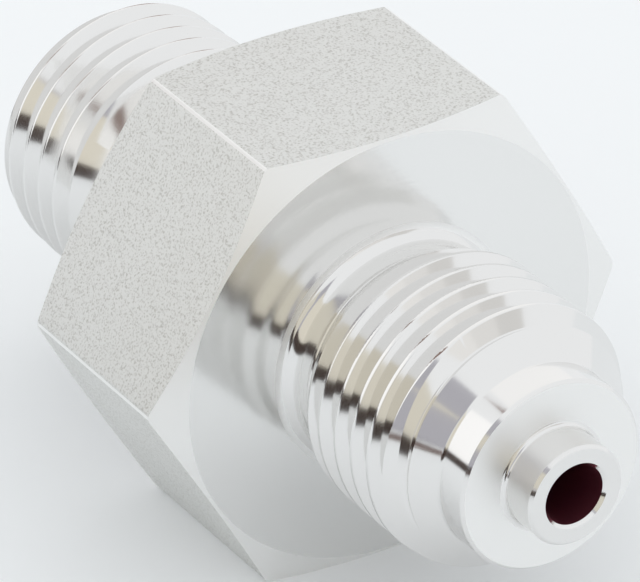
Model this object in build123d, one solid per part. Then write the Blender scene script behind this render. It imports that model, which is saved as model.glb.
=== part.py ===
"""Screw-in adapter, turned in one piece from hexagonal bar.

The part lies along X. The origin is on its axis, in the plane of the hexagon's front face.
+X is the front, with the parallel thread, the sealing shoulder and the centring pin.
-X is the back, with the taper thread. Two of the hexagon's flats face up and down.
Both threads are kept as plain blanks at their crests. Lengths are in millimetres.
"""
from build123d import *
from math import radians, sqrt, tan
import os

# Hexagonal bar, with its long edges slightly round
across_flats = 22.0
bar_edge_radius = 0.5

# Hexagon that is left at full size, and the cones turned on its two faces
hexagon_length = 11.0
face_diameter = 21.7
face_cone_angle = 20.0          # degrees, measured from the face

# Undercut between the hexagon's front face and the parallel thread
groove_diameter = 11.0
groove_length = 1.4             # from the hexagon to the foot of the run-out cone
groove_corner_radius = 0.8
groove_exit_angle = 30.0        # degrees, measured from the axis

# Parallel pipe thread, 1/4 inch size: crests, and where the last full one ends
parallel_diameter = 13.157
parallel_length = 9.3
parallel_chamfer_angle = 45.0   # degrees, measured from the axis

# Spigot and centring pin in front of the thread
spigot_diameter = 9.5
spigot_corner_radius = 0.3
shoulder_distance = 13.0        # from the hexagon to the sealing shoulder
pin_diameter = 5.0
pin_length = 2.0
pin_corner_radius = 0.25

# Neck between the hexagon's back face and the taper thread
neck_diameter = 10.9
neck_length = 5.85
neck_corner_radius = 0.8
neck_exit_angle = 50.0          # degrees, measured from the axis

# Taper pipe thread, 1/4 inch size: crests, measured at the end of the stub
taper_stub_length = 14.0
taper_end_diameter = 12.97
taper = 1 / 16                  # growth of the diameter along the axis
taper_chamfer_length = 1.0

# Bore right through, and the small cone that breaks each sharp rim
bore_diameter = 3.0
edge_break = 0.15

x_back_face = -hexagon_length
x_back_end = x_back_face - taper_stub_length
x_front_end = shoulder_distance + pin_length


def taper_crest(x):
    """Radius of the taper thread's crests at a place on the axis."""
    return taper_end_diameter / 2 + (x - x_back_end) * taper / 2


def back_outline():
    """Taper thread, run-out cone and neck, from the back end to the hexagon."""
    neck_radius = neck_diameter / 2
    x_neck = x_back_face - neck_length
    exit_slope = tan(radians(neck_exit_angle))
    x_thread = x_neck - (taper_crest(x_neck) - neck_radius) / (exit_slope + taper / 2)
    x_chamfer = x_back_end + taper_chamfer_length
    return [
        (x_back_end, taper_crest(x_chamfer) - taper_chamfer_length),
        (x_chamfer, taper_crest(x_chamfer)),
        (x_thread, taper_crest(x_thread)),
        (x_neck, neck_radius),
        (x_back_face, neck_radius),
    ]


def hexagon_outline():
    """The two faces of the hexagon and the cones that trim its corners."""
    corner_radius = across_flats / sqrt(3)
    face_radius = face_diameter / 2
    cone_depth = (corner_radius - face_radius) * tan(radians(face_cone_angle))
    return [
        (x_back_face, face_radius),
        (x_back_face + cone_depth, corner_radius),
        (-cone_depth, corner_radius),
        (0, face_radius),
    ]


def front_outline():
    """Undercut, parallel thread, spigot and pin, from the hexagon to the front end."""
    groove_radius = groove_diameter / 2
    thread_radius = parallel_diameter / 2
    spigot_radius = spigot_diameter / 2
    pin_radius = pin_diameter / 2
    exit_length = (thread_radius - groove_radius) / tan(radians(groove_exit_angle))
    chamfer_length = (thread_radius - spigot_radius) / tan(radians(parallel_chamfer_angle))
    return [
        (0, groove_radius),
        (groove_length, groove_radius),
        (groove_length + exit_length, thread_radius),
        (parallel_length, thread_radius),
        (parallel_length + chamfer_length, spigot_radius),
        (shoulder_distance - edge_break, spigot_radius),
        (shoulder_distance, spigot_radius - edge_break),
        (shoulder_distance, pin_radius),
        (x_front_end - edge_break, pin_radius),
        (x_front_end, pin_radius - edge_break),
    ]


def turned_envelope():
    """Everything that the lathe leaves, as if the bar were round and wide enough."""
    back = back_outline()
    front = front_outline()
    outline = [(x_back_end, 0), *back, *hexagon_outline(), *front, (x_front_end, 0)]
    section = make_face(Polyline(*outline, close=True))
    rounded_corners = [
        (back[-1], neck_corner_radius),
        (front[0], groove_corner_radius),
        (front[4], spigot_corner_radius),
        (front[7], pin_corner_radius),
    ]
    for corner, radius in rounded_corners:
        vertex = section.vertices().sort_by_distance((*corner, 0))[0]
        section = fillet(vertex, radius)
    return revolve(Plane.XZ * section, Axis.X)


def hexagonal_bar():
    """The stock, with its flats up and down and its long edges rounded."""
    section = RegularPolygon(across_flats / 2, 6, major_radius=False)
    section = fillet(section.vertices(), bar_edge_radius)
    return extrude(Plane.YZ.offset(x_back_end) * section, x_front_end - x_back_end)


def drilled(solid):
    """The solid with its bore, and with both rims of the bore broken."""
    length = x_front_end - x_back_end
    drill = extrude(Plane.YZ.offset(x_back_end) * Circle(bore_diameter / 2), length)
    solid = solid - drill
    circles = solid.edges().filter_by(GeomType.CIRCLE)
    rims = [edge for edge in circles if abs(edge.radius - bore_diameter / 2) < 1e-6]
    return chamfer(rims, edge_break)


adapter_body = drilled(hexagonal_bar() & turned_envelope())

os.makedirs("parts", exist_ok=True)
export_step(adapter_body, "parts/adapter_body.step")
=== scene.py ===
# %% [markdown]
# A steel screw-in adapter, turned from hexagonal bar. The imported solid has the true form of
# every turned step, but its two threads are plain blanks. This lesson models the same body
# again with the threads cut into it, and gives each surface the finish that its tool left.
# The bore instead gets painted shade, a dark colour for the shade inside the hole.
#
# The adapter lies along X on one flat of its hexagon. The origin is on its axis, in the plane
# of the hexagon's front face.

# %% Load the frame
from math import atan2, cos, degrees, pi, radians, sin, sqrt, tan

import bpy
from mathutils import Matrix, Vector


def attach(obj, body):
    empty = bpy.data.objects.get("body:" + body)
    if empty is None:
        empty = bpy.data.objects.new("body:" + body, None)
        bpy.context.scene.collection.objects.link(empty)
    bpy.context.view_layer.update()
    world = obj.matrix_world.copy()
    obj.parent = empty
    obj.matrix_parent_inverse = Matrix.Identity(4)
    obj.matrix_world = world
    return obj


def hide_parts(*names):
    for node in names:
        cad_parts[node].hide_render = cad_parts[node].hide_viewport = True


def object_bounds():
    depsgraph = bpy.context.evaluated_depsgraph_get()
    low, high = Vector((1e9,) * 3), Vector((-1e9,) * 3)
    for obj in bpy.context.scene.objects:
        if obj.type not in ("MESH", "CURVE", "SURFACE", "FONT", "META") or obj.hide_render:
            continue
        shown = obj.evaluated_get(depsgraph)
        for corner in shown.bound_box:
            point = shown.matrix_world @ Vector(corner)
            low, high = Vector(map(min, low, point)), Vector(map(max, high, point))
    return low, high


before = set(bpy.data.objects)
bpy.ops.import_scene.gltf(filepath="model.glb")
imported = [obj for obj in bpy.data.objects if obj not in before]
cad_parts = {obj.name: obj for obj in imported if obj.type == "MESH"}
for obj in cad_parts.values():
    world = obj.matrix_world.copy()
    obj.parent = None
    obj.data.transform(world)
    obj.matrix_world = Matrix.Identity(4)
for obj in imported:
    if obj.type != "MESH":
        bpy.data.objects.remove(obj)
cad_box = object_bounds()
MM = 0.001
print("the solid's box in mm:", [[round(v / MM, 2) for v in corner] for corner in cad_box])

# %% [markdown]
# The camera stands far off with a long lens, because the photograph shows almost no
# perspective. It looks at the middle of the body from the front, a little from its left and
# from 31 degrees above.

# %% Camera
CAMERA_AIM = Vector((-2.8, -2.1, 2.2)) * MM
CAMERA_DISTANCE = 347 * MM
CAMERA_AZIMUTH = radians(-32.476)
CAMERA_ELEVATION = radians(31.134)
CAMERA_LENS = 428.2
SENSOR_WIDTH = 36.0

towards_camera = Vector((
    cos(CAMERA_ELEVATION) * cos(CAMERA_AZIMUTH),
    cos(CAMERA_ELEVATION) * sin(CAMERA_AZIMUTH),
    sin(CAMERA_ELEVATION),
))
bpy.ops.object.camera_add(location=CAMERA_AIM + towards_camera * CAMERA_DISTANCE)
camera = bpy.context.object
camera.rotation_mode = "QUATERNION"
camera.rotation_quaternion = towards_camera.to_track_quat("Z", "Y")
camera.rotation_mode = "XYZ"
camera.data.lens = CAMERA_LENS
camera.data.sensor_width = SENSOR_WIDTH
camera.data.clip_start = 1 * MM
bpy.context.scene.camera = camera
print("camera at mm:", [round(v / MM, 1) for v in camera.location])

# %% [markdown]
# The sizes of the body, in millimetres. It is modelled a thousand times too large, with one
# unit to a millimetre, because operators such as merge by distance work well at that size. The
# finished piece is scaled down once, at the end.

# %% Sizes of the body
ACROSS_FLATS = 22.0
CORNER_RADIUS = ACROSS_FLATS / sqrt(3)
EDGE_ROUNDING = 0.5
HEXAGON_LENGTH = 11.0
FACE_RADIUS = 10.85
FACE_CONE_ANGLE = radians(20)

GROOVE_RADIUS = 5.5
GROOVE_LENGTH = 1.4
GROOVE_ROUNDING = 0.8
GROOVE_EXIT_ANGLE = radians(30)
PARALLEL_CREST = 6.5785
PARALLEL_LENGTH = 9.3
PARALLEL_CHAMFER_ANGLE = radians(45)
SPIGOT_RADIUS = 4.75
SPIGOT_ROUNDING = 0.3
SHOULDER = 13.0
PIN_RADIUS = 2.5
PIN_ROUNDING = 0.25
FRONT_END = 15.0

NECK_RADIUS = 5.45
NECK_LENGTH = 5.85
NECK_ROUNDING = 0.8
NECK_EXIT_ANGLE = radians(50)
BACK_END = -25.0
TAPER_CREST = 6.485
TAPER_SLOPE = 1 / 32
TAPER_CHAMFER = 1.0

BORE_RADIUS = 1.5
EDGE_BREAK = 0.15
TURNING_STEPS = 180


def taper_crest(x):
    """Radius of the taper thread's crests at a place on the axis."""
    return TAPER_CREST + (x - BACK_END) * TAPER_SLOPE


# %% [markdown]
# A turned part is an outline that goes once round its axis. The outline is drawn as a chain of
# points in the upper half of the XZ plane, where X runs along the axis and Z is the radius.
# Tool-nose roundings in the inner corners are short arcs of points.

# %% Points of the turned outline
ARC_STEPS = 8


def arc(centre_x, centre_r, radius, start, end):
    """Points of an arc, from one angle to another, in degrees from the X direction."""
    turns = [radians(start + (end - start) * i / ARC_STEPS) for i in range(ARC_STEPS + 1)]
    return [(centre_x + radius * cos(a), centre_r + radius * sin(a)) for a in turns]


def back_points():
    """Chamfer, taper blank, run-out cone and neck, from the back end to the hexagon."""
    back_face = -HEXAGON_LENGTH
    neck_start = back_face - NECK_LENGTH
    exit_slope = tan(NECK_EXIT_ANGLE)
    thread_end = neck_start - (taper_crest(neck_start) - NECK_RADIUS) / (exit_slope + TAPER_SLOPE)
    chamfer = BACK_END + TAPER_CHAMFER
    points = [
        (BACK_END, BORE_RADIUS + EDGE_BREAK),
        (BACK_END, taper_crest(chamfer) - TAPER_CHAMFER),
        (chamfer, taper_crest(chamfer)),
        (thread_end, taper_crest(thread_end)),
        (neck_start, NECK_RADIUS),
    ]
    return points + arc(back_face - NECK_ROUNDING, NECK_RADIUS + NECK_ROUNDING,
                        NECK_ROUNDING, -90, 0)


def hexagon_points():
    """The hexagon's two faces, and the cones that trim its corners."""
    depth = (CORNER_RADIUS - FACE_RADIUS) * tan(FACE_CONE_ANGLE)
    return [
        (-HEXAGON_LENGTH, FACE_RADIUS),
        (-HEXAGON_LENGTH + depth, CORNER_RADIUS),
        (-depth, CORNER_RADIUS),
        (0, FACE_RADIUS),
    ]


def front_points():
    """Undercut, parallel blank, chamfer, spigot, shoulder and pin."""
    exit_length = (PARALLEL_CREST - GROOVE_RADIUS) / tan(GROOVE_EXIT_ANGLE)
    chamfer_length = (PARALLEL_CREST - SPIGOT_RADIUS) / tan(PARALLEL_CHAMFER_ANGLE)
    chamfer_end = PARALLEL_LENGTH + chamfer_length
    turn = degrees(PARALLEL_CHAMFER_ANGLE)
    reach = SPIGOT_ROUNDING * tan(radians(turn) / 2)
    return [
        *arc(GROOVE_ROUNDING, GROOVE_RADIUS + GROOVE_ROUNDING, GROOVE_ROUNDING, 180, 270),
        (GROOVE_LENGTH, GROOVE_RADIUS),
        (GROOVE_LENGTH + exit_length, PARALLEL_CREST),
        (PARALLEL_LENGTH, PARALLEL_CREST),
        *arc(chamfer_end + reach, SPIGOT_RADIUS + SPIGOT_ROUNDING, SPIGOT_ROUNDING,
             270 - turn, 270),
        (SHOULDER - EDGE_BREAK, SPIGOT_RADIUS),
        (SHOULDER, SPIGOT_RADIUS - EDGE_BREAK),
        *arc(SHOULDER + PIN_ROUNDING, PIN_RADIUS + PIN_ROUNDING, PIN_ROUNDING, 180, 270),
        (FRONT_END - EDGE_BREAK, PIN_RADIUS),
        (FRONT_END, PIN_RADIUS - EDGE_BREAK),
        (FRONT_END, BORE_RADIUS + EDGE_BREAK),
    ]


bore_points = [(FRONT_END - EDGE_BREAK, BORE_RADIUS), (BACK_END + EDGE_BREAK, BORE_RADIUS)]
turned_outline = back_points() + hexagon_points() + front_points() + bore_points
print("points in the turned outline:", len(turned_outline))

# %% [markdown]
# The outline is drawn as a person would draw it: a plane is merged to one point, which is
# moved to its place and extruded from point to point. The same drawing is used later for the
# shape of the thread tools.

# %% Drawing a chain of points
MERGE_DISTANCE = 1e-5


def drawn_loop(name, points):
    """A closed loop of edges in the XZ plane, through points of (x, z)."""
    bpy.ops.object.select_all(action="DESELECT")
    bpy.ops.mesh.primitive_plane_add(size=1)
    drawing = bpy.context.object
    drawing.name = name
    bpy.ops.object.mode_set(mode="EDIT")
    bpy.ops.mesh.merge(type="CENTER")
    bpy.ops.transform.translate(value=(points[0][0], 0, points[0][1]))
    for (x_from, z_from), (x_to, z_to) in zip(points, points[1:] + points[:1]):
        step = (x_to - x_from, 0, z_to - z_from)
        bpy.ops.mesh.extrude_vertices_move(TRANSFORM_OT_translate={"value": step})
    bpy.ops.mesh.select_all(action="SELECT")
    bpy.ops.mesh.remove_doubles(threshold=MERGE_DISTANCE)
    bpy.ops.object.mode_set(mode="OBJECT")
    return drawing


def close_solid():
    """In edit mode: merges doubled points, closes open ends and turns all faces outwards."""
    bpy.ops.mesh.select_all(action="SELECT")
    bpy.ops.mesh.remove_doubles(threshold=MERGE_DISTANCE)
    bpy.ops.mesh.fill_holes(sides=0)
    bpy.ops.mesh.select_all(action="SELECT")
    bpy.ops.mesh.normals_make_consistent(inside=False)


# %% [markdown]
# One turn of the outline round the X axis gives the turned blank.

# %% Spin the outline round the axis
body = drawn_loop("adapter", turned_outline)
bpy.ops.object.mode_set(mode="EDIT")
bpy.ops.mesh.select_all(action="SELECT")
bpy.ops.mesh.spin(steps=TURNING_STEPS, angle=2 * pi, center=(0, 0, 0), axis=(1, 0, 0))
close_solid()
bpy.ops.object.mode_set(mode="OBJECT")
print("faces of the turned blank:", len(body.data.polygons))

# %% [markdown]
# The hexagon is what is left of the bar. The bar is a six-sided cylinder with its long edges
# rounded by a bevel, and an intersection keeps what lies in both the bar and the turned form.
# That draws the curved edges where the cones trim the corners, as the lathe does.

# %% The hexagonal bar
BAR_MARGIN = 1.0
BEVEL_SEGMENTS = 6
LONG_EDGE = 1.0


def apply_boolean(target, tool, operation):
    """Joins, cuts or intersects a solid with another one, which is used up."""
    bpy.ops.object.select_all(action="DESELECT")
    bpy.context.view_layer.objects.active = target
    target.select_set(True)
    step = target.modifiers.new("shape", "BOOLEAN")
    step.operation = operation
    step.solver = "EXACT"
    step.object = tool
    bpy.ops.object.modifier_apply(modifier=step.name)
    bpy.data.objects.remove(tool, do_unlink=True)


bar_length = FRONT_END - BACK_END + 2 * BAR_MARGIN
bar_middle = (FRONT_END + BACK_END) / 2
bpy.ops.object.select_all(action="DESELECT")
bpy.ops.mesh.primitive_cylinder_add(vertices=6, radius=CORNER_RADIUS, depth=bar_length,
                                    location=(bar_middle, 0, 0), rotation=(0, pi / 2, 0))
bar = bpy.context.object
bpy.ops.object.transform_apply(location=True, rotation=True, scale=True)
bpy.ops.object.mode_set(mode="EDIT")
bpy.ops.mesh.select_all(action="DESELECT")
bpy.ops.object.mode_set(mode="OBJECT")
for edge in bar.data.edges:
    ends = [bar.data.vertices[i].co for i in edge.vertices]
    edge.select = abs(ends[0].x - ends[1].x) > LONG_EDGE
bpy.ops.object.mode_set(mode="EDIT")
bpy.ops.mesh.select_mode(type="EDGE")
bpy.ops.mesh.bevel(offset=EDGE_ROUNDING / sqrt(3), segments=BEVEL_SEGMENTS, affect="EDGES")
bpy.ops.mesh.select_mode(type="VERT")
bpy.ops.object.mode_set(mode="OBJECT")
apply_boolean(body, bar, "INTERSECT")
print("faces with the hexagon:", len(body.data.polygons))

# %% [markdown]
# A thread is what a pointed tool leaves when it moves along the turning part. So the tool's
# shape is drawn, carried along a helix by a Screw modifier, and cut out of the body. The tool
# starts and ends where there is no metal, over the undercut and past the end, so the thread
# fades out on the run-out cone and on the chamfer by itself.
#
# The parallel thread has the rounded 55 degree form, with 19 threads to the inch. The taper
# thread has the 60 degree form with small flats, with 18 threads to the inch, and grows in
# diameter towards the hexagon by 1 in 16.

# %% Thread tools
INCH = 25.4
TOOL_TOP = 0.7
TOOL_GAP = 0.005
CORNER_STEPS = 5
CREST_LEAN = radians(8)


def tool_section(pitch, crest, depth, flank, root_rounding, crest_rounding):
    """Half of a thread tool's outline, from its tip to its top, as (x, z) from its middle.
    The flats at the root and at the crest share what the two flanks leave of the pitch."""
    slope = pi / 2 - flank
    half_flat = (pitch / 2 - depth * tan(flank)) / 2
    root_x = half_flat - root_rounding * tan(slope / 2)
    tip = [(root_x + root_rounding * sin(slope * i / CORNER_STEPS),
            root_rounding * (1 - cos(slope * i / CORNER_STEPS))) for i in range(CORNER_STEPS + 1)]
    crest_x = pitch / 2 - half_flat + crest_rounding * tan(slope / 2)
    turns = [slope + (CREST_LEAN - slope) * i / CORNER_STEPS for i in range(CORNER_STEPS + 1)]
    shoulder = [(crest_x - crest_rounding * sin(a), depth - crest_rounding * (1 - cos(a)))
                for a in turns]
    edge_x = pitch / 2 - TOOL_GAP
    edge_z = shoulder[-1][1] + (edge_x - shoulder[-1][0]) * tan(CREST_LEAN)
    half = [(0, 0)] + tip + shoulder + [(edge_x, edge_z), (edge_x, depth + TOOL_TOP)]
    return [(x, crest - depth + z) for x, z in half]


def thread_tool(name, section, pitch, crest_at_top, first, turns):
    """The helix that a thread tool sweeps. first is its starting place along the axis, and
    crest_at_top the place of one crest where the helix passes straight over the axis."""
    outline = [(-x, z) for x, z in reversed(section[1:])] + section
    tool = drawn_loop(name, [(first + x, z) for x, z in outline])
    sweep = tool.modifiers.new("helix", "SCREW")
    sweep.axis = "X"
    sweep.angle = 2 * pi * turns
    sweep.screw_offset = pitch * turns
    sweep.steps = sweep.render_steps = round(TURNING_STEPS * turns)
    bpy.ops.object.modifier_apply(modifier=sweep.name)
    notch_at_top = crest_at_top + pitch / 2
    tool.rotation_euler.x = 2 * pi * (first - notch_at_top) / pitch
    bpy.ops.object.transform_apply(location=True, rotation=True, scale=True)
    bpy.ops.object.mode_set(mode="EDIT")
    close_solid()
    bpy.ops.object.mode_set(mode="OBJECT")
    return tool


# %% [markdown]
# Both threads are right-handed. The place of one crest was read from the photograph at the side
# of the body that faces the camera, and is carried along the helix to the top.

# %% Cut the parallel thread
CREST_READ_AT = 51  # degrees round the axis, from the top
PARALLEL_PITCH = INCH / 19
PARALLEL_DEPTH = 0.856
PARALLEL_FLANK = radians(27.5)
PARALLEL_ROOT_ROUNDING = 0.10
PARALLEL_CREST_ROUNDING = 0.06
PARALLEL_CREST_READ = 3.962
PARALLEL_CREST_PLACE = PARALLEL_CREST_READ - PARALLEL_PITCH * CREST_READ_AT / 360
PARALLEL_TOOL_START = 1.05
PARALLEL_TOOL_TURNS = 7.6

parallel_section = tool_section(PARALLEL_PITCH, PARALLEL_CREST, PARALLEL_DEPTH, PARALLEL_FLANK,
                                PARALLEL_ROOT_ROUNDING, PARALLEL_CREST_ROUNDING)
parallel_tool = thread_tool("parallel_tool", parallel_section, PARALLEL_PITCH,
                            PARALLEL_CREST_PLACE, PARALLEL_TOOL_START, PARALLEL_TOOL_TURNS)
apply_boolean(body, parallel_tool, "DIFFERENCE")
print("faces with the parallel thread:", len(body.data.polygons))

# %% [markdown]
# The taper tool sweeps a straight helix first. Then each of its points moves away from the axis
# or towards it by the taper, so the notch keeps its depth along the cone.

# %% Cut the taper thread
TAPER_PITCH = INCH / 18
TAPER_DEPTH = 1.0
TAPER_FLANK = radians(30)
TAPER_ROOT_ROUNDING = 0.07
TAPER_CREST_ROUNDING = 0.05
TAPER_CREST_READ = -23.391
TAPER_CREST_PLACE = TAPER_CREST_READ - TAPER_PITCH * CREST_READ_AT / 360
TAPER_TOOL_START = -25.9
TAPER_TOOL_TURNS = 7.2

taper_section = tool_section(TAPER_PITCH, taper_crest(0), TAPER_DEPTH, TAPER_FLANK,
                             TAPER_ROOT_ROUNDING, TAPER_CREST_ROUNDING)
taper_tool = thread_tool("taper_tool", taper_section, TAPER_PITCH,
                         TAPER_CREST_PLACE, TAPER_TOOL_START, TAPER_TOOL_TURNS)
for vertex in taper_tool.data.vertices:
    place = vertex.co
    radius = sqrt(place.y ** 2 + place.z ** 2)
    growth = (radius + place.x * TAPER_SLOPE) / radius
    place.y *= growth
    place.z *= growth
apply_boolean(body, taper_tool, "DIFFERENCE")
print("faces with both threads:", len(body.data.polygons))

# %% [markdown]
# The body is brought to metres and smoothed where its faces meet at a small angle. It rides on
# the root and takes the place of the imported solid.

# %% Scale down and smooth
SMOOTH_ANGLE = radians(16)

bpy.ops.object.select_all(action="DESELECT")
body.select_set(True)
bpy.context.view_layer.objects.active = body
body.scale = (MM, MM, MM)
bpy.ops.object.transform_apply(location=True, rotation=True, scale=True)
bpy.ops.object.shade_smooth_by_angle(angle=SMOOTH_ANGLE)

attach(body, "root")
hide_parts("adapter_body")

sides = {}
for face in body.data.polygons:
    for pair in face.edge_keys:
        sides[pair] = sides.get(pair, 0) + 1
print("edges without exactly two faces:", sum(1 for n in sides.values() if n != 2))
print("triangles:", sum(len(f.vertices) - 2 for f in body.data.polygons))

# %% [markdown]
# Finishes are written as sums. A small class wraps a socket, so that a mask or a height is an
# ordinary expression of Python, and each operator adds its Math node. Every other node comes
# from one method, which sets the node's own settings first and then its sockets.

# %% Writing shaders as sums
class Wire:
    """One output of a node, or a number, that takes part in a sum."""

    def __init__(self, tree, socket):
        self.tree = tree
        self.socket = socket

    def maths(self, operation, *values):
        node = self.tree.nodes.new("ShaderNodeMath")
        node.operation = operation
        for slot, value in zip(node.inputs, values):
            if isinstance(value, Wire):
                self.tree.links.new(value.socket, slot)
            else:
                slot.default_value = value
        return Wire(self.tree, node.outputs[0])

    def __add__(self, other):
        return self.maths("ADD", self, other)

    __radd__ = __add__

    def __mul__(self, other):
        return self.maths("MULTIPLY", self, other)

    __rmul__ = __mul__


class Finish:
    """A node tree that is filled step by step."""

    def __init__(self, owner):
        owner.use_nodes = True
        self.tree = owner.node_tree
        self.tree.nodes.clear()

    def add(self, kind, settings=None, sockets=None, output=0):
        """Adds one node. Its sockets go by their names or by their numbers."""
        node = self.tree.nodes.new(kind)
        for name, value in (settings or {}).items():
            setattr(node, name, value)
        for name, value in (sockets or {}).items():
            if isinstance(value, Wire):
                self.tree.links.new(value.socket, node.inputs[name])
            else:
                node.inputs[name].default_value = value
        return Wire(self.tree, node.outputs[output]) if len(node.outputs) else node


def smooth_step(finish, value, low, high):
    """0 below low, 1 above high and a soft rise between."""
    settings = {"interpolation_type": "SMOOTHSTEP"}
    return finish.add("ShaderNodeMapRange", settings,
                      {"Value": value, "From Min": low, "From Max": high})


# %% [markdown]
# Two kinds of material make five finishes. The first is turned metal, with fine rings round the
# axis and a roughness that changes a little from place to place. The rings are a noise that is
# read at the place along the axis and the distance from it, so it is the same all the way round.

# %% Turned steel
OBJECT_PLACE = 3  # the output with object coordinates
CLOUD_SCALE = 260.0
RING_SCALE = 5000.0
RING_DEPTH = 0.00002


def turned_steel(name, colour, roughness, ring_height):
    """Turned metal with fine rings round the axis."""
    material = bpy.data.materials.new(name)
    finish = Finish(material)
    place = finish.add("ShaderNodeTexCoord", output=OBJECT_PLACE)
    cloud = finish.add("ShaderNodeTexNoise", None,
                       {"Vector": place, "Scale": CLOUD_SCALE, "Detail": 3.0})
    across = finish.add("ShaderNodeVectorMath", {"operation": "MULTIPLY"},
                        {0: place, 1: (0, 1, 1)})
    radius = finish.add("ShaderNodeVectorMath", {"operation": "LENGTH"}, {"Vector": across},
                        output=1)
    along = finish.add("ShaderNodeSeparateXYZ", None, {"Vector": place})
    ring_place = finish.add("ShaderNodeCombineXYZ", None, {"X": along, "Y": radius})
    rings = finish.add("ShaderNodeTexNoise", None,
                       {"Vector": ring_place, "Scale": RING_SCALE, "Detail": 2.0})
    bump = finish.add("ShaderNodeBump", None,
                      {"Height": rings, "Strength": ring_height, "Distance": RING_DEPTH})
    shader = finish.add("ShaderNodeBsdfPrincipled", None, {
        "Base Color": colour,
        "Metallic": 1.0,
        "Roughness": roughness * (0.8 + cloud * 0.4),
        "Normal": bump,
    })
    finish.add("ShaderNodeOutputMaterial", None, {"Surface": shader})
    return material


# %% [markdown]
# The second is the bar's own drawn surface: matt and light, with fine dark specks that lie a
# little lower than the rest. A slow cloud makes the specks stronger in some places.

# %% Drawn flats
GRAIN_SCALE = 9500.0
SPECK_EDGES = (0.28, 0.54)
PATCH_SCALE = 200.0
SPECK_DEPTH = 0.00001


def drawn_steel(name, colour, speck_colour, roughness):
    """Matt drawn surface with fine dark specks."""
    material = bpy.data.materials.new(name)
    finish = Finish(material)
    place = finish.add("ShaderNodeTexCoord", output=OBJECT_PLACE)
    grain = finish.add("ShaderNodeTexNoise", None,
                       {"Vector": place, "Scale": GRAIN_SCALE, "Detail": 3.0})
    specks = smooth_step(finish, grain, *SPECK_EDGES)
    cloud = finish.add("ShaderNodeTexNoise", None,
                       {"Vector": place, "Scale": PATCH_SCALE, "Detail": 2.0})
    mask = specks * (0.9 + 0.2 * cloud)
    mixed = finish.add("ShaderNodeMix", {"data_type": "RGBA"},
                       {0: mask, 6: speck_colour, 7: colour}, output=2)
    bump = finish.add("ShaderNodeBump", None,
                      {"Height": specks, "Strength": 0.9, "Distance": SPECK_DEPTH})
    shader = finish.add("ShaderNodeBsdfPrincipled", None, {
        "Base Color": mixed,
        "Metallic": 1.0,
        "Roughness": roughness,
        "Normal": bump,
    })
    finish.add("ShaderNodeOutputMaterial", None, {"Surface": shader})
    return material


# %% [markdown]
# Each face takes its finish from its place and its direction. The threads, the spigot and the
# pin are smooth enough to show sharp pictures of the room. The hexagon's two faces have a soft
# shine. The cones that trim it, its long rounded edges and the sealing shoulder are satin. The
# six flats are drawn. The bore has painted shade: a dark colour that stands in for the shade
# inside the narrow hole.

# %% Give each face its finish
steel = turned_steel("turned_steel", (0.815, 0.81, 0.80, 1), 0.11, 0.02)
faced = turned_steel("faced_steel", (0.86, 0.86, 0.85, 1), 0.14, 0.08)
satin = turned_steel("satin_steel", (0.90, 0.90, 0.89, 1), 0.40, 0.08)
flats = drawn_steel("drawn_flats", (0.75, 0.755, 0.74, 1), (0.55, 0.545, 0.52, 1), 0.5)
# The bore's base colour is painted shade: a dark red-violet that stands in for the shade deep in
# the narrow hole, not the colour of its steel.
bore_painted_shade = turned_steel("bore_painted_shade", (0.36, 0.10, 0.14, 1), 0.5, 0.0)
finishes = (steel, faced, satin, flats, bore_painted_shade)
TURNED, FACED, SATIN, DRAWN, BORE_PAINTED_SHADE = range(len(finishes))
body.data.materials.clear()
for material in finishes:
    body.data.materials.append(material)

SLACK = 0.001
RADIUS_SLACK = 0.01
FLAT_RADIUS = ACROSS_FLATS / 2 - RADIUS_SLACK
SIDE_LEAN = 0.05
FACE_LEAN = 0.9
CONE_LEAN = 0.97
EDGE_TURN = 24
for face in body.data.polygons:
    middle = face.center / MM
    radius = sqrt(middle.y ** 2 + middle.z ** 2)
    lean = abs(face.normal.x)
    in_hexagon = -HEXAGON_LENGTH - SLACK < middle.x < SLACK
    turn = degrees(atan2(face.normal.z, face.normal.y))
    # Faces inside the bore take the finish with the painted shade.
    if radius < BORE_RADIUS + RADIUS_SLACK:
        face.material_index = BORE_PAINTED_SHADE
    elif in_hexagon and lean < SIDE_LEAN and radius > FLAT_RADIUS:
        face.material_index = SATIN if abs(turn % 60 - 30) > EDGE_TURN else DRAWN
    elif in_hexagon and lean > FACE_LEAN:
        face.material_index = FACED if lean > CONE_LEAN else SATIN
    elif lean > FACE_LEAN and radius > PIN_RADIUS + PIN_ROUNDING and middle.x > 0:
        face.material_index = SATIN
    else:
        face.material_index = TURNED
counts = [sum(1 for f in body.data.polygons if f.material_index == i)
          for i in range(len(finishes))]
print("turned, faced, satin, drawn and bore faces:", counts)

# %% [markdown]
# The studio has a pale floor, on which the adapter lies.

# %% Floor
FLOOR_SIZE = 4.0
floor_height = cad_box[0][2]
bpy.ops.object.select_all(action="DESELECT")
bpy.ops.mesh.primitive_plane_add(size=FLOOR_SIZE, location=(0, 0, floor_height))
floor = bpy.context.object
floor.name = "floor"
paint = bpy.data.materials.new("floor_paint")
finish = Finish(paint)
diffuse = finish.add("ShaderNodeBsdfDiffuse", None, {"Color": (0.93, 0.945, 0.95, 1)})
finish.add("ShaderNodeOutputMaterial", None, {"Surface": diffuse})
floor.data.materials.append(paint)


# %% [markdown]
# What bright metal shows is the room around it, so the room is made of curved cards that glow by
# themselves: a white and a cream one on the left, a bright one behind, a pale violet one beside
# the camera, three that go from light to grey on the right, and cream ones close to the front
# and to the hexagon. Dark feet below them draw the dark lines in the metal, and one dark card
# stands in the gap between the left cards and the lamp. The camera doesn't see the cards, and
# they cast no shadow: only reflections show them.

# %% Cards
CARD_STEPS = 24
FAR_RING = 120
LAMP_RING = 105
FOOT_RING = 104
FRONT_RING = 55
FRONT_FOOT_RING = 54
NECK_RING = 25
NECK_FOOT_RING = 24.8


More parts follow.
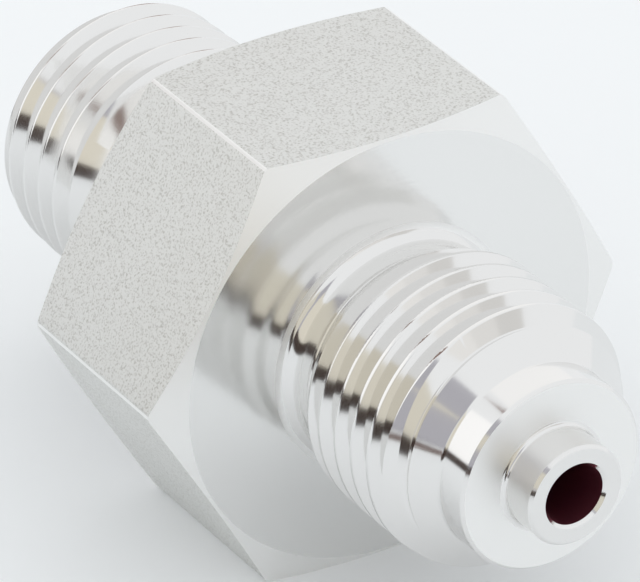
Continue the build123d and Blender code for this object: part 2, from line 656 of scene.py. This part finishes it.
def card(name, azimuths, distance, low, high, colour, strength):
    """A curved card round the object, from one azimuth to another, lit by itself. Degrees and
    millimetres."""
    start, end = azimuths
    bpy.ops.object.select_all(action="DESELECT")
    bpy.ops.mesh.primitive_plane_add(size=1)
    piece = bpy.context.object
    piece.name = name
    bpy.ops.object.mode_set(mode="EDIT")
    bpy.ops.mesh.merge(type="CENTER")
    bpy.ops.transform.translate(value=(distance * MM, 0, low * MM))
    rise = (0, 0, (high - low) * MM)
    bpy.ops.mesh.extrude_vertices_move(TRANSFORM_OT_translate={"value": rise})
    bpy.ops.mesh.select_all(action="SELECT")
    bpy.ops.mesh.spin(steps=CARD_STEPS, angle=radians(start - end), center=(0, 0, 0),
                      axis=(0, 0, 1))
    bpy.ops.object.mode_set(mode="OBJECT")
    piece.rotation_euler.z = radians(start)
    bpy.ops.object.transform_apply(location=True, rotation=True, scale=True)
    paint = bpy.data.materials.new(name)
    finish = Finish(paint)
    glow = finish.add("ShaderNodeEmission", None, {"Color": colour, "Strength": strength})
    finish.add("ShaderNodeOutputMaterial", None, {"Surface": glow})
    piece.data.materials.append(paint)
    piece.visible_camera = False
    piece.visible_diffuse = False
    piece.visible_shadow = False


WHITE = (1, 1, 1, 1)
CREAM = (1.0, 0.95, 0.82, 1)
BROWN = (0.10, 0.065, 0.055, 1)
VIOLET = (0.93, 0.92, 1.0, 1)
GREY = (1.0, 0.99, 0.97, 1)
card("left_card", (-155, -120), LAMP_RING, 1, 80, WHITE, 1.15)
card("left_cream_card", (-174, -156), LAMP_RING, 1, 26, CREAM, 0.66)
card("left_foot", (-174, -120), FOOT_RING, -11, 1.0, BROWN, 0.5)
card("chamfer_foot", (-62, -47.5), FOOT_RING, -8.5, -1.5, BROWN, 1.6)
card("right_foot", (-47.5, -36), FOOT_RING, -11, 2.0, BROWN, 0.4)
card("neck_card", (-100, -50), NECK_RING, 3.6, 22, CREAM, 0.80)
card("neck_foot", (-100, -46), NECK_FOOT_RING, -0.5, 3.6, BROWN, 0.5)
card("gap", (-164, -155), FOOT_RING, 40, 110, BROWN, 2.5)
card("back_lamp", (130, 196), LAMP_RING, 30, 160, WHITE, 1.05)
card("back_foot", (148, 172), FOOT_RING, 8, 34, BROWN, 3.0)
card("front_card", (-22, 0), FRONT_RING, -3.8, 12, CREAM, 0.75)
card("front_side_card", (-38, -22), FRONT_RING, -3.8, 24, CREAM, 0.75)
card("front_foot", (-40, 0), FRONT_FOOT_RING, -11, -3.8, BROWN, 0.4)
card("camera_card", (-60, -25), FAR_RING, 1, 105, VIOLET, 0.52)
card("right_card_1", (3, 13), FAR_RING, 18, 60, GREY, 0.92)
card("right_card_2", (13, 26), FAR_RING, 18, 60, GREY, 0.84)
card("right_card_3", (26, 39), FAR_RING, 18, 60, GREY, 0.74)

# %% [markdown]
# The world is a pale sky of one colour, and the picture is shown without a film curve.

# %% World and view
SKY_COLOUR = (0.97, 0.985, 1.0, 1)

world = bpy.context.scene.world or bpy.data.worlds.new("studio")
bpy.context.scene.world = world
finish = Finish(world)
sky = finish.add("ShaderNodeBackground", None, {"Color": SKY_COLOUR, "Strength": 1.0})
finish.add("ShaderNodeOutputWorld", None, {"Surface": sky})
bpy.context.scene.view_settings.view_transform = "Standard"
